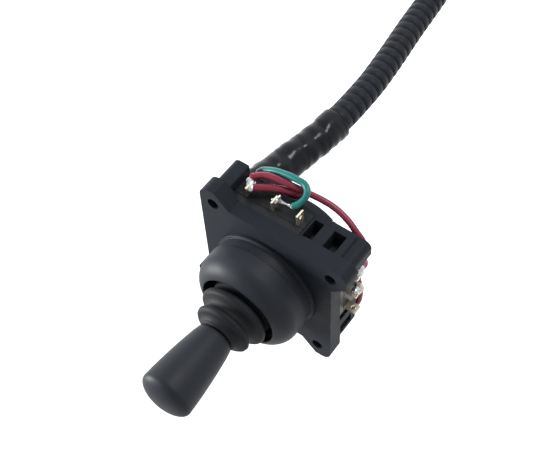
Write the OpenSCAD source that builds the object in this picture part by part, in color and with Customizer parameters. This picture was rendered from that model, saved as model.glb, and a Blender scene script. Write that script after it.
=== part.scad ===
// Industrial microswitch joystick on a square panel flange.
// Frame: origin at the middle of the flange's front face, +Z out of the panel
// along the lever, millimetres. Features that repeat on the four sides are
// drawn for the +Y side and turned in quarter turns.

/* [Flange] */
// Side of the square flange
flange_w = 38; // [38:0.5:44]
// Thickness of the flange
flange_t = 4.2; // [3.8:0.1:6]
// Thickness of the four mounting ears, from the front face
ear_t = 4.6; // [4.4:0.1:6]
// How far an ear stands out beyond the flange's edge
ear_reach = 4.2; // [4:0.1:5]
// Radius of the ear's outer corner
ear_corner = 3; // [1.5:0.1:3.2]
// Flat top of the ear beyond the middle of its hole
ear_flat = 0.6; // [0.4:0.1:1.5]
// Side of the square of mounting holes
bolt_square = 34; // [33.6:0.1:34.2]
// Angle by which the square of holes is turned against the flange
bolt_turn = 6.2; // [6:0.1:6.6]
// Diameter of a mounting hole
bolt_d = 3.2; // [2.6:0.1:3.4]
// Diameter of the opening that the lever passes through
throat_d = 16; // [15.6:0.1:17]

/* [Switch frame] */
// Step from the flange edge in to the frame that carries the switches
frame_inset = 0.4; // [0.2:0.1:1]
// Step from the ear's edge in to the post behind it
post_inset = 1.2; // [0.5:0.1:1.3]
// Radius of the post's outer corner
post_corner = 2; // [1:0.1:2.2]
// Depth to which the posts reach behind the front face
post_depth = 12.4; // [12.2:0.1:16]
// Thickness of the wall between a switch and the first window
window_wall = 0.7; // [0.5:0.1:1]
// Length of the narrow window
window_short = 2.6; // [2:0.1:2.8]
// Length of the wide window
window_long = 3.4; // [2.5:0.1:3.5]
// Width of the rib between the windows
window_rib = 3; // [2.8:0.1:3.2]
// Depth of the windows, from the frame's side
window_depth = 4.9; // [3:0.1:5]

/* [Rear plate] */
// Thickness of the rear plate
plate_t = 1.5; // [1.2:0.1:2.5]
// Outer diameter of the spring housing on the rear plate
boss_d = 21; // [20:0.5:22]
// Height of the spring housing behind the rear plate
boss_h = 7.2; // [5:0.1:8]
// Wall of the spring housing
boss_wall = 1.6; // [1.2:0.1:2]
// Shank diameter of a rear plate screw
screw_d = 1.9; // [1.6:0.1:2]
// Length of a rear plate screw under its head
screw_l = 6; // [4:0.5:6.5]
// Head diameter of a rear plate screw
screw_head_d = 4.4; // [3.6:0.1:5]

/* [Microswitches] */
// Length of a switch case
switch_l = 19.8; // [19:0.1:20]
// Height of a switch case, from its terminal face to its plunger face
switch_h = 10.2; // [10:0.1:10.4]
// Thickness of a switch case
switch_t = 6.4; // [6:0.1:7]
// Distance from the plunger to the end of the case beside the windows
switch_short = 6.9; // [6.7:0.1:7.1]
// Distance from the plunger to the middle of the case's two mounting holes
switch_hole_off = 3; // [2.6:0.1:3.2]
// Spacing of the case's mounting holes
switch_hole_pitch = 9.5; // [9:0.1:9.6]
// Diameter of the case's mounting holes
switch_hole_d = 2.35; // [2:0.05:2.6]
// How far the terminal face lies inside the flange edge
switch_set = 0.2; // [0:0.1:0.3]
// Free height of a plunger above the case
plunger_free = 1.3; // [1.2:0.05:1.4]
// Travel of a plunger
plunger_travel = 0.9; // [0.5:0.05:0.9]
// Width of a plunger
plunger_w = 2.8; // [2:0.1:3]
// Thickness of a plunger
plunger_t = 1.6; // [1:0.1:1.8]
// Length of a terminal outside the case
tab_l = 3.4; // [3:0.1:6]
// Width of a terminal
tab_w = 2.6; // [2.4:0.1:3.2]
// Thickness of a terminal
tab_t = 0.5; // [0.4:0.05:0.8]
// Distance from the plunger to the common terminal
tab_common = 9.7; // [9.3:0.1:10.4]
// Distance from the plunger to the normally open terminal
tab_open = 2.2; // [1.8:0.1:2.6]
// Distance from the plunger to the normally closed terminal
tab_closed = 5.1; // [4.6:0.1:5.6]

/* [Lever] */
// Depth of the pivot behind the flange's front face
pivot_depth = 2.1; // [2:0.05:2.3]
// Diameter of the lever shaft
shaft_d = 5; // [4:0.1:5.2]
// Diameter of the pivot hub
hub_d = 8.4; // [7.6:0.1:8.5]
// Height of the pivot hub
hub_h = 5; // [4.4:0.1:5.2]
// Radial wall of the gimbal ring
ring_wall = 2; // [1.6:0.1:2]
// Height of the gimbal ring
ring_h = 3.8; // [3.2:0.1:3.9]
// Diameter of the gimbal pins
pin_d = 2; // [1.6:0.1:2.2]
// Depth of the gimbal pin bores in the flange
pin_seat = 3.2; // [2:0.1:3.4]
// Diameter of the actuator disc
disc_d = 12.9; // [12:0.1:13]
// Thickness of the actuator disc
disc_t = 1.8; // [1.4:0.1:2]
// Diameter of the guide under the actuator disc
guide_d = 5.8; // [5:0.1:6.2]
// Wire diameter of the return spring
spring_wire = 0.9; // [0.6:0.1:1]
// Outer diameter of the return spring
spring_d = 10.6; // [10:0.1:11.5]
// Turns of the return spring
spring_turns = 4; // [3:0.5:5]

/* [Bezel and boot] */
// How far the bezel's foot ring stands out beyond its dome
foot_step = 0.2; // [0.1:0.05:0.5]
// Height of the bezel's foot ring
foot_h = 0.9; // [0.6:0.1:1.5]
// Height of the recessed collar under the dome
collar_h = 3.8; // [2:0.1:5]
// How far the collar is recessed from the dome
collar_step = 0.35; // [0.2:0.05:0.5]
// Diameter of the bezel's dome
dome_d = 28.8; // [28.6:0.1:29.2]
// Height of the bezel above the flange
dome_h = 12.5; // [11.5:0.1:13.5]
// Radius of the rounding at the front of the dome
dome_round = 5.4; // [4.5:0.1:5.8]
// Width of the bezel's front rim, from the dome's side to the opening
rim_w = 3.9; // [3.6:0.1:4.4]
// Wall of the bezel
bezel_wall = 1.6; // [1.2:0.1:1.7]
// Gap between the boot's first fold and the bezel's opening
fold_gap = 1.2; // [0.8:0.1:1.6]
// Diameter of the second fold of the boot
fold_2_d = 15.2; // [14:0.1:16.5]
// Wall of the rubber boot
boot_wall = 1; // [0.8:0.1:1.2]

/* [Knob] */
// Height of the knob's lower end above the flange
knob_base = 20.8; // [20.5:0.1:24]
// Length of the knob, to the edge where its end is rounded over
knob_l = 18.4; // [14:0.1:24]
// Diameter of the knob at its lower end
knob_neck_d = 9.7; // [9:0.1:11]
// Largest diameter of the knob
knob_d = 13.9; // [12:0.1:16]
// Height of the knob's domed end
knob_dome = 3; // [2:0.1:6]
// Outer diameter of the brass insert in the knob
insert_d = 7; // [6.2:0.1:7.4]
// Length of the brass insert
insert_l = 11; // [8:0.5:13]

/* [Wiring] */
// Diameter of the hook-up wires over their insulation
wire_d = 1.7; // [1.2:0.1:1.8]
// Diameter of the thicker feed wire
feed_d = 2; // [1.7:0.1:2.2]
// Diameter of the corrugated conduit
conduit_d = 8; // [7.6:0.1:8.4]
// Diameter of the taped end of the harness
tape_d = 9.2; // [8.4:0.1:9.8]
// Mean diameter of the stored coil of conduit
coil_d = 86; // [80:1:90]
// Turns in the stored coil
coil_turns = 2; // [2:1:3]
// Width of the band that ties the coil
tie_w = 5; // [3:0.5:8]
// Length of the connector at the end of the harness
plug_l = 32; // [28:1:40]
// Width of the connector
plug_w = 20; // [18:0.5:24]
// Thickness of the connector
plug_h = 15; // [13:0.5:16]

/* [Clearances] */
// Gap round a fixed piece in its seat
seat_gap = 0.05; // [0.02:0.01:0.1]
// Radial gap of a pin that turns in its bore
run_gap = 0.03; // [0.02:0.01:0.08]
// Gap round a sliding plunger
slide_gap = 0.15; // [0.1:0.01:0.2]

/* [Hidden] */

eps = 0.01;
smooth = 96;

half = flange_w / 2;
frame_half = half - frame_inset;
switch_back = flange_t + switch_t;
plate_back = switch_back + plate_t;
switch_mid = flange_t + switch_t / 2;
face_y = half - switch_set;
inner_y = face_y - switch_h;
long_end = switch_l - switch_short;

// A mounting hole lies at (-hole_x, hole_y) beside the +Y side.
hole_x = bolt_square / 2 * (cos(bolt_turn) - sin(bolt_turn));
hole_y = bolt_square / 2 * (cos(bolt_turn) + sin(bolt_turn));
post_wall = 1.5;
post_chamfer = 0.3;

window_1 = switch_short + window_wall;
rib_x = window_1 + window_short;
window_2 = rib_x + window_rib;
screw_x = rib_x + window_rib / 2;
screw_y = frame_half - 3.1;
// length of a resting plunger inside its case, and what is left of the well at full travel
plunger_root = 2.3;
plunger_spare = 0.4;

pivot_z = -pivot_depth;
ring_outer_d = throat_d - 1.6;
ring_inner_d = ring_outer_d - 2 * ring_wall;
disc_top = -switch_mid + disc_t / 2;
disc_low = disc_top - disc_t;
guide_low = disc_low - 1.7;
clip_t = 0.8;
shaft_low = guide_low - clip_t - 0.5;
shaft_high = knob_base + insert_l + 0.6;
boss_floor = -(plate_back + boss_h - boss_wall);
spring_top = disc_low - 0.1;

foot_d = dome_d + 2 * foot_step;
mouth_d = dome_d - 2 * rim_w;
fold_1_d = mouth_d - 2 * fold_gap;
spigot_h = 1.5;
spigot_out = foot_d / 2;
spigot_in = spigot_out - foot_step - collar_step - 0.6;
clamp_h = 1.2;
boot_foot_h = 1.1;
bezel_bore = dome_d / 2 - bezel_wall;
boot_foot_r = bezel_bore - seat_gap;
boot_r = mouth_d / 2 - 0.9;
boot_top = knob_base - 0.2;
boot_neck_r = shaft_d / 2 + 0.15;
fold_1_z = dome_h + 1.2;
fold_2_z = boot_top - 2.7;

lane = conduit_d + 0.2;

// Turns its child to the side of the given number, 0 to 3: +Y, +X, -Y, -X.
module side(number) rotate([0, 0, -90 * number]) children();

module at_sides() for (number = [0:3]) side(number) children();

// Point of a Catmull-Rom curve through four points.
function blend_point(a, b, c, d, t) =
    0.5 * ((2 * b) + (c - a) * t + (2 * a - 5 * b + 4 * c - d) * t * t
        + (3 * b - a - 3 * c + d) * t * t * t);

// Smooth curve through route points, with a number of steps to each stretch.
function smooth_route(route, steps) = [
    for (i = [0:len(route) - 2]) for (k = [0:steps - 1])
        blend_point(
            i == 0 ? 2 * route[0] - route[1] : route[i - 1], route[i], route[i + 1],
            i == len(route) - 2 ? 2 * route[i + 1] - route[i] : route[i + 2], k / steps),
    route[len(route) - 1]
];

function unit(v) = v / norm(v);

function heading(route, i) =
    unit(route[min(i + 1, len(route) - 1)] - route[max(i - 1, 0)]);

// Sideways directions carried along the route without twist.
function carry(route, i = 0, last = [0, 0, 0], found = []) =
    i == len(route) ? found :
    let (
        ahead = heading(route, i),
        first = abs(ahead[0]) < 0.8 ? [1, 0, 0] : [0, 1, 0],
        from = i == 0 ? first : last,
        across = unit(from - (from * ahead) * ahead)
    ) carry(route, i + 1, across, concat(found, [across]));

// Round tube along a list of points.
module tube(route, d, sides = 8) {
    across = carry(route);
    rings = len(route);
    points = [
        for (i = [0:rings - 1]) let (u = across[i], v = cross(heading(route, i), u))
            for (k = [0:sides - 1])
                route[i] + d / 2 * (cos(360 * k / sides) * u + sin(360 * k / sides) * v)
    ];
    walls = [
        for (i = [0:rings - 2]) for (k = [0:sides - 1]) let (n = (k + 1) % sides)
            for (face = [[i * sides + k, i * sides + n, (i + 1) * sides + n],
                         [i * sides + k, (i + 1) * sides + n, (i + 1) * sides + k]]) face
    ];
    caps = [
        [for (k = [sides - 1:-1:0]) k],
        [for (k = [0:sides - 1]) (rings - 1) * sides + k]
    ];
    polyhedron(points, [for (f = concat(walls, caps)) [f[0], each [for (j = [len(f) - 1:-1:1]) f[j]]]]);
}

// ---- flange and switch frame ----

// Outline of the ear beside the +Y side: round at its corner, sloped into the flange.
module ear_outline() {
    top = half + ear_reach;
    slope_x = ear_flat - hole_x;
    translate([ear_corner - half, top - ear_corner]) circle(ear_corner, $fn = smooth);
    polygon([
        [-half, inner_y], [-half, top - ear_corner], [ear_corner - half, top - ear_corner],
        [ear_corner - half, top], [slope_x, top], [slope_x + ear_reach, half],
        [slope_x + ear_reach, inner_y]
    ]);
}

// Outline of the post behind the ear, grown by a gap where a piece is cut to clear it.
module post_outline(gap = 0) {
    left = post_inset - half - gap;
    right = -long_end - 0.3 + gap;
    top = half + ear_reach - post_inset + gap;
    low = hole_y - bolt_d / 2 - post_wall - gap;
    translate([left + post_corner, top - post_corner]) circle(post_corner, $fn = smooth);
    polygon([
        [left, low], [left, top - post_corner], [left + post_corner, top - post_corner],
        [left + post_corner, top], [right - post_chamfer, top], [right, top - post_chamfer],
        [right, low]
    ]);
}

module plate_outline(w, r = 1) {
    for (x = [-1, 1], y = [-1, 1])
        translate([x * (w / 2 - r), y * (w / 2 - r)]) circle(r, $fn = 32);
    square([w, w - 2 * r], center = true);
    square([w - 2 * r, w], center = true);
}

// Bay of the +Y switch, open to the outside and to the rear.
module switch_bay() {
    translate([-long_end - seat_gap, inner_y - eps, -switch_back - 1])
        cube([switch_l + 2 * seat_gap, switch_h + 2, switch_t + 1]);
}

// Two blind windows beside the switch.
module windows() {
    for (w = [[window_1, window_short], [window_2, window_long]])
        translate([w[0], frame_half - window_depth, -switch_back + 0.5])
            cube([w[1], window_depth + 1, switch_t - 1]);
}

module switch_pegs() {
    for (s = [-1, 1])
        translate([-switch_hole_off + s * switch_hole_pitch / 2, inner_y + 7.3, -switch_back + 1])
            cylinder(d = switch_hole_d - 2 * seat_gap, h = switch_t - 1 + eps, $fn = 48);
}

module housing() color("#2a2c2f") difference() {
    union() {
        translate([0, 0, -flange_t]) linear_extrude(flange_t) plate_outline(flange_w);
        translate([0, 0, -switch_back])
            linear_extrude(switch_back - flange_t + eps) plate_outline(2 * frame_half);
        at_sides() {
            translate([0, 0, -ear_t]) linear_extrude(ear_t) ear_outline();
            translate([0, 0, -post_depth])
                linear_extrude(post_depth - ear_t + eps) post_outline();
        }
    }
    translate([0, 0, -switch_back - 1]) cylinder(d = throat_d, h = switch_back + 2, $fn = smooth);
    translate([-inner_y, -inner_y, -switch_back - 1]) cube([2 * inner_y, 2 * inner_y, switch_t + 1]);
    at_sides() {
        difference() {
            switch_bay();
            switch_pegs();
        }
        windows();
        translate([-hole_x, hole_y, -post_depth - 1]) cylinder(d = bolt_d, h = post_depth + 2, $fn = 48);
        translate([screw_x, screw_y, -switch_back - 1])
            cylinder(d = screw_d + 2 * seat_gap, h = screw_l - plate_t + 1.4, $fn = 32);
    }
    // groove for the bezel's spigot
    translate([0, 0, -spigot_h - seat_gap]) difference() {
        cylinder(r = spigot_out + seat_gap, h = spigot_h + 1, $fn = smooth);
        translate([0, 0, -1]) cylinder(r = spigot_in - seat_gap, h = spigot_h + 3, $fn = smooth);
    }
    // bores for the gimbal's pins
    for (s = [-1, 1]) translate([s * (throat_d / 2 - 1), 0, pivot_z]) rotate([0, s * 90, 0])
        cylinder(d = pin_d + 2 * run_gap, h = pin_seat + 1, $fn = 48);
}

module rear_plate() color("#26282b") difference() {
    union() {
        translate([0, 0, -plate_back]) linear_extrude(plate_t) difference() {
            plate_outline(2 * frame_half);
            at_sides() post_outline(0.15);
        }
        translate([0, 0, -plate_back - boss_h + 1]) cylinder(d = boss_d, h = boss_h - 1 + eps, $fn = smooth);
        translate([0, 0, -plate_back - boss_h])
            rotate_extrude($fn = smooth) {
                square([boss_d / 2 - 1, 1 + eps]);
                translate([boss_d / 2 - 1, 1]) intersection() {
                    circle(1, $fn = 32);
                    translate([0, -1]) square([1, 1 + eps]);
                }
            }
    }
    translate([0, 0, boss_floor]) cylinder(d = boss_d - 2 * boss_wall, h = boss_h + plate_t, $fn = smooth);
    at_sides() translate([screw_x, screw_y, -plate_back - 1])
        cylinder(d = screw_d + 2 * seat_gap, h = plate_t + 2, $fn = 32);
}

module rear_screws() color("#c9ccd0") at_sides() translate([screw_x, screw_y, -plate_back]) {
    cylinder(d = screw_d, h = screw_l, $fn = 32);
    rotate([180, 0, 0]) difference() {
        rotate_extrude($fn = 48) intersection() {
            square([screw_head_d / 2, 1.7]);
            translate([0, -1.2]) circle(2.9, $fn = 64);
        }
        for (a = [0, 90]) rotate([0, 0, a]) translate([-1.2, -0.25, 0.9]) cube([2.4, 0.5, 2]);
    }
}

// ---- microswitches, drawn for the +Y side ----

module switch_case(number) color("#1f2124") side(number) difference() {
    translate([-long_end, inner_y, -switch_back]) cube([switch_l, switch_h, switch_t]);
    for (s = [-1, 1])
        translate([-switch_hole_off + s * switch_hole_pitch / 2, inner_y + 7.3, -switch_back - 1])
            cylinder(d = switch_hole_d, h = switch_t + 2, $fn = 48);
    // well of the plunger
    translate([-plunger_w / 2 - slide_gap, inner_y - 1, -switch_mid - plunger_t / 2 - slide_gap])
        cube([plunger_w + 2 * slide_gap, 1 + plunger_root + plunger_travel + plunger_spare,
            plunger_t + 2 * slide_gap]);
    // parting line between the base and the cover
    translate([-long_end - 1, face_y - 0.15, -switch_mid + 1.2]) cube([switch_l + 2, 1, 0.2]);
    // shallow step at the short end of the cover
    translate([switch_short - 1.6, inner_y - 1, -switch_back - 1]) cube([2, 2.2, switch_t + 2]);
}

module switch_plunger(number) color("#8a1f1f") side(number)
    translate([-plunger_w / 2, inner_y - plunger_free, -switch_mid - plunger_t / 2]) {
        translate([0, 0.5, 0]) cube([plunger_w, plunger_free + plunger_root - 0.5, plunger_t]);
        intersection() {
            cube([plunger_w, 1, plunger_t]);
            translate([plunger_w / 2, 2, -1]) cylinder(r = 2, h = plunger_t + 2, $fn = 64);
        }
    }

module tab() difference() {
    translate([-tab_t / 2, face_y, -switch_mid - tab_w / 2]) cube([tab_t, tab_l, tab_w]);
    translate([-tab_t, face_y + tab_l - 1.3, -switch_mid]) rotate([0, 90, 0])
        cylinder(d = 1.2, h = 2 * tab_t, $fn = 24);
}

module switch_terminals(number) color("#b8a878") side(number)
    for (x = [-tab_common, -tab_open, tab_closed]) translate([x, 0, 0]) tab();

module solder(number) color("#cfd2d4") side(number) difference() {
    for (x = [-tab_common, -tab_open])
        translate([x, face_y + 2, -switch_mid - 0.4]) sphere(d = 2.6, $fn = 24);
    for (x = [-tab_common, -tab_open])
        translate([x - tab_t / 2, face_y - 1, -switch_mid - tab_w / 2 - 1])
            cube([tab_t, tab_l + 2, tab_w + 2]);
}

// ---- gimbal and lever ----

module gimbal_ring() color("#8f9498") translate([0, 0, pivot_z]) difference() {
    cylinder(d = ring_outer_d, h = ring_h, center = true, $fn = smooth);
    cylinder(d = ring_inner_d, h = ring_h + 1, center = true, $fn = smooth);
    for (turn = [0, 90]) rotate([0, 0, turn]) rotate([0, 90, 0])
        cylinder(d = pin_d, h = ring_outer_d + 1, center = true, $fn = 48);
}

module ring_pins() color("#b9bdc1") for (s = [-1, 1])
    translate([s * ring_inner_d / 2, 0, pivot_z]) rotate([0, s * 90, 0])
        cylinder(d = pin_d, h = ring_wall + (throat_d - ring_outer_d) / 2 + pin_seat - 0.3, $fn = 48);

module hub_pin() color("#b9bdc1") translate([0, 0, pivot_z]) rotate([90, 0, 0])
    cylinder(d = pin_d, h = ring_outer_d - 0.2, center = true, $fn = 48);

module lever_hub() color("#7d8286") difference() {
    translate([0, 0, pivot_z]) cylinder(d = hub_d, h = hub_h, center = true, $fn = smooth);
    translate([0, 0, pivot_z]) cylinder(d = shaft_d, h = hub_h + 1, center = true, $fn = 64);
    translate([0, 0, pivot_z]) rotate([90, 0, 0])
        cylinder(d = pin_d + 2 * run_gap, h = hub_d + 1, center = true, $fn = 48);
}

module lever_shaft() color("#9aa0a5") difference() {
    translate([0, 0, shaft_low]) cylinder(d = shaft_d, h = shaft_high - shaft_low, $fn = 64);
    translate([0, 0, pivot_z]) rotate([90, 0, 0])
        cylinder(d = pin_d + 2 * run_gap, h = shaft_d + 1, center = true, $fn = 48);
    // groove for the clip
    translate([0, 0, guide_low - clip_t]) difference() {
        cylinder(d = shaft_d + 1, h = clip_t, $fn = 48);
        translate([0, 0, -1]) cylinder(d = shaft_d - 1, h = clip_t + 2, $fn = 48);
    }
}

module actuator() color("#e6e4dc") difference() {
    union() {
        translate([0, 0, disc_low]) cylinder(d = disc_d, h = disc_t, $fn = smooth);
        translate([0, 0, guide_low]) cylinder(d = guide_d, h = disc_low - guide_low + eps, $fn = 64);
    }
    translate([0, 0, guide_low - 1]) cylinder(d = shaft_d, h = disc_t + 5, $fn = 64);
}

module shaft_clip() color("#5d6266") translate([0, 0, guide_low - clip_t]) difference() {
    cylinder(d = shaft_d + 3, h = clip_t, $fn = 64);
    translate([0, 0, -1]) cylinder(d = shaft_d - 1, h = clip_t + 2, $fn = 48);
    translate([0, -1.4, -1]) cube([shaft_d + 3, 2.8, clip_t + 2]);
}

module return_spring() color("#a9aeb3") {
    steps = 14 * spring_turns;
    rise = spring_top - boss_floor - spring_wire;
    tube([
        for (i = [0:steps]) let (a = 360 * spring_turns * i / steps, r = (spring_d - spring_wire) / 2)
            [r * cos(a), r * sin(a), boss_floor + spring_wire / 2 + rise * i / steps]
    ], spring_wire, 6);
}

// ---- bezel, boot and knob ----

module bezel() color("#2b2d30") rotate_extrude($fn = 144) difference() {
    union() {
        square([foot_d / 2, foot_h]);
        square([dome_d / 2 - collar_step, collar_h + 1]);
        translate([0, collar_h]) square([dome_d / 2, dome_h - dome_round - collar_h]);
        square([dome_d / 2 - dome_round, dome_h]);
        translate([dome_d / 2 - dome_round, dome_h - dome_round]) circle(dome_round, $fn = 96);
        translate([spigot_in, -spigot_h]) square([spigot_out - spigot_in, spigot_h + 1]);
    }
    translate([-1, 0]) square([1 + mouth_d / 2, dome_h + 1]);
    translate([-1, -spigot_h - 1]) square([1 + spigot_in, spigot_h + 1]);
    translate([-1, 0]) square([1 + bezel_bore, dome_h - dome_round]);
    intersection() {
        translate([dome_d / 2 - dome_round, dome_h - dome_round])
            circle(dome_round - bezel_wall, $fn = 64);
        square([dome_d, dome_h]);
    }
    square([dome_d / 2 - dome_round, dome_h - bezel_wall]);
    translate([0, -spigot_h - 1]) square([spigot_in, spigot_h + 1]);
}

// Height and radius of the boot's outside, from its foot to its neck.
boot_outside = concat(
    [[0, boot_foot_r], [boot_foot_h, boot_foot_r], [boot_foot_h, boot_r + 0.3],
     [boot_foot_h + 0.5, boot_r], [6, boot_r - 0.1], [8.8, boot_r - 0.6]],
    [for (a = [0:30:180]) [fold_1_z - 1.3 * cos(a), fold_1_d / 2 - 1.6 + 1.6 * sin(a)]],
    [[(fold_1_z + fold_2_z) / 2, fold_2_d / 2 - 0.9]],
    [for (a = [20:32:180]) [fold_2_z - 1.25 * cos(a), fold_2_d / 2 - 1.6 + 1.6 * sin(a)]],
    [[boot_top - 0.7, boot_neck_r + 2.4], [boot_top, boot_neck_r + 2.2]]
);

module boot() color("#1d1e20") rotate_extrude($fn = 96) difference() {
    polygon([[0, 0], for (p = boot_outside) [p[1], p[0]], [0, boot_top]]);
    polygon([
        [0, -1], [boot_r - boot_wall, -1],
        for (i = [3:len(boot_outside) - 3])
            [boot_outside[i][1] - boot_wall, boot_outside[i][0]],
        [boot_neck_r, boot_top - 1.7], [boot_neck_r, boot_top + 1], [0, boot_top + 1]
    ]);
}

module boot_clamp_ring() color("#3a3c3f") translate([0, 0, boot_foot_h]) difference() {
    cylinder(r = boot_foot_r, h = clamp_h, $fn = smooth);
    translate([0, 0, -1]) cylinder(r = boot_r + 0.5, h = clamp_h + 2, $fn = smooth);
}

// Radius of the knob's side at a share of its length, a slightly bellied taper.
function knob_r(s) =
    knob_neck_d / 2 + (knob_d - knob_neck_d) / 2 * (1 - (1 - s) * (1 - s)) * 0.55
        + (knob_d - knob_neck_d) / 2 * s * 0.45;

knob_side = [for (s = [0:0.125:1]) [knob_r(s), knob_base + knob_l * s]];
knob_end = [for (a = [0:10:90]) [knob_d / 2 * cos(a), knob_base + knob_l + knob_dome * sin(a)]];

module knob() color("#26272a") difference() {
    rotate_extrude($fn = 96)
        polygon([[0, knob_base], [knob_neck_d / 2 - 0.5, knob_base],
                 [knob_neck_d / 2, knob_base + 0.5],
                 for (i = [1:len(knob_side) - 1]) knob_side[i],
                 for (i = [1:len(knob_end) - 1]) knob_end[i]]);
    translate([0, 0, knob_base - 1]) cylinder(d = insert_d, h = insert_l + 1.6, $fn = 64);
}

module knob_insert() color("#b08d4a") difference() {
    translate([0, 0, knob_base]) cylinder(d = insert_d, h = insert_l, $fn = 64);
    translate([0, 0, knob_base - 1]) cylinder(d = shaft_d, h = insert_l + 2, $fn = 64);
}

// ---- wiring ----

// Where the wires run into the tape: middle of the bundle.
bundle = [-16, 6, -17.4];
bundle_r = 2.5;

// Place of a wire in the bundle, one to five.
function lane_at(k) = bundle + bundle_r * [cos(72 * k), sin(72 * k), 0];

// Straight last stretch of a wire into the tape.
function into_bundle(k) = [for (rise = [2.8, 1.4, 0]) lane_at(k) + [0, 0, rise]];

red_feed_route = concat([
    [-7.9, 21.3, -8.6], [-5.2, 21.5, -10], [-2.4, 21.3, -11.4], [0, 20.8, -12.6], [1.2, 19.8, -13.7],
    [0.4, 18, -14.4], [-3, 16, -14.6], [-8, 14.2, -14.6], [-11.6, 11.8, -14.6]], into_bundle(1));
red_link_12_route = [
    [-9.9, 21.8, -10.4], [-8.4, 22.5, -11.6], [-6.2, 23, -12], [-3, 23.2, -12.2],
    [0.4, 22.8, -12.8], [3, 21.7, -13.7], [6, 20.4, -14.7], [9.4, 19.3, -15.2], [13.4, 18, -14.8],
    [16.8, 16.4, -13.9], [18.9, 14.6, -13.6], [19.9, 12.8, -13.4], [20.4, 11.2, -11.6],
    [20.6, 10.6, -10.2]];
red_link_23_route = [
    [20.7, 9, -10.4], [20.4, 8, -12.4], [18.8, 6.2, -14.2], [17.2, 2.4, -15], [17, -4, -15.1],
    [18.2, -10, -14.7], [17.2, -15.8, -14], [14.2, -19, -13.8], [11.6, -20.6, -12.6],
    [10.6, -20.9, -10.4]];
// The next link is the same, a quarter turn on.
red_link_34_route = [for (p = red_link_23_route) [p[1], -p[0], p[2]]];
green_route = concat([
    [2.3, 21.6, -8.4], [3.6, 22.6, -9.6], [4.2, 24.2, -11.6], [2.8, 24.8, -13.2], [-0.4, 24.6, -13.7],
    [-4.4, 23.6, -14], [-8.2, 22, -14], [-11.4, 19.4, -14], [-12.8, 15.2, -14.9], [-15.4, 11.8, -15]],
    into_bundle(2));
white_route = concat([
    [20.2, -1.2, -8.8], [20.1, -2.4, -10.6], [19.8, -3.5, -12.2], [18.5, -4.8, -13.4], [15.4, -6.2, -13.3],
    [11.4, -8.6, -14.6], [6, -12, -16.4], [-1, -14.4, -16.6], [-8, -13, -16.4], [-12.8, -8, -15.6],
    [-13.2, -1, -15]],
    into_bundle(5));
blue_route = concat([
    [-1.2, -20.4, -8.4], [-3, -20.4, -11], [-4.8, -20.2, -14], [-6.4, -18.8, -16.8],
    [-11, -15, -16.6], [-15.4, -9, -16.2], [-17, -3, -15]], into_bundle(4));
yellow_route = concat([
    [-20.4, 1.2, -8.4], [-21.2, 4, -9.8], [-20.8, 6, -12.8]], into_bundle(3));

module red_feed_wire() color("#8c2233") tube(smooth_route(red_feed_route, 2), feed_d);
module red_link_wire_12() color("#8c2233") tube(smooth_route(red_link_12_route, 2), wire_d);
module red_link_wire_23() color("#8c2233") tube(smooth_route(red_link_23_route, 2), wire_d);
module red_link_wire_34() color("#8c2233") tube(smooth_route(red_link_34_route, 2), wire_d);
module green_wire() color("#1b7a70") tube(smooth_route(green_route, 2), wire_d);
module white_wire() color("#c9c4b4") tube(smooth_route(white_route, 2), wire_d);
module blue_wire() color("#2c4f8c") tube(smooth_route(blue_route, 2), wire_d);
module yellow_wire() color("#c6a32e") tube(smooth_route(yellow_route, 2), wire_d);

// Middle line of the taped end and of the conduit after it.
tape_route = [
    bundle, bundle + [0, 0, -3], [-15, 5.7, -25], [-13.85, 5.6, -31], [-12.65, 5.65, -37],
    [-11.7, 5.9, -43], [-11.4, 6, -47]];
conduit_route = [
    [-11.4, 6, -47], [-11.1, 6.1, -51], [-11, 6.1, -57], [-11.2, 6, -65], [-12.2, 6, -76],
    [-13.7, 6, -89], [-15, 6, -103], [-16.8, 6, -119], [-18.4, 6, -137], [-19.4, 6, -156], [-19.8, 6, -170],
    [-20, 6, -182]];
coil_in = conduit_route[len(conduit_route) - 1];
coil_mid = coil_in + [coil_d / 2, lane * coil_turns / 2, 0];
coil_out = coil_in + [0, lane * coil_turns, 0];
tail_route = [
    coil_out, coil_out + [0, 0.8, -9], coil_out + [0, 2.4, -18], coil_out + [0, 4.2, -27],
    coil_out + [0, 5, -36], coil_out + [0, 5, -42]];
plug_top = tail_route[len(tail_route) - 1];

lock_w = 0.3 * plug_w;
lock_t = 1.2;
lock_l = 0.53 * plug_l;
lock_pad = 0.3 * lock_l;

module harness_tape() color("#18191b") tube(tape_route, tape_d, 12);
module conduit() color("#202124") tube(conduit_route, conduit_d, 10);
module conduit_tail() color("#202124") tube(tail_route, conduit_d, 10);

// Outline of the turns side by side, in the plane through the coil's axis.
module coil_outline(grow = 0) {
    reach = lane * (coil_turns - 1);
    translate([coil_d / 2, 0]) {
        for (s = [-1, 1]) translate([0, s * reach / 2]) circle(d = conduit_d + 2 * grow, $fn = 32);
        square([conduit_d + 2 * grow, reach], center = true);
    }
}

module conduit_coil() color("#202124") translate(coil_mid) rotate([90, 0, 0])
    rotate_extrude($fn = 96) coil_outline();

module coil_tie() color("#101113") translate(coil_mid) rotate([90, 0, 0]) rotate([0, 0, -90])
    intersection() {
        rotate_extrude($fn = 96) difference() {
            coil_outline(1.2);
            coil_outline(0.05);
        }
        translate([0, -tie_w / 2, -coil_d / 2]) cube([coil_d, tie_w, coil_d]);
    }

module connector() color("#1b1c1e") difference() {
    translate(plug_top) {
        translate([-plug_w / 2, -plug_h / 2, -plug_l]) cube([plug_w, plug_h, plug_l - 8]);
        translate([0, 0, -8.5]) cylinder(d = plug_h - 2, h = 8.5, $fn = 48);
    }
    // mouth round the contacts
    translate(plug_top + [-plug_w / 2 + 1.5, -plug_h / 2 + 1.5, -plug_l - 1])
        cube([plug_w - 3, plug_h - 3, 10]);
}

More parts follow.
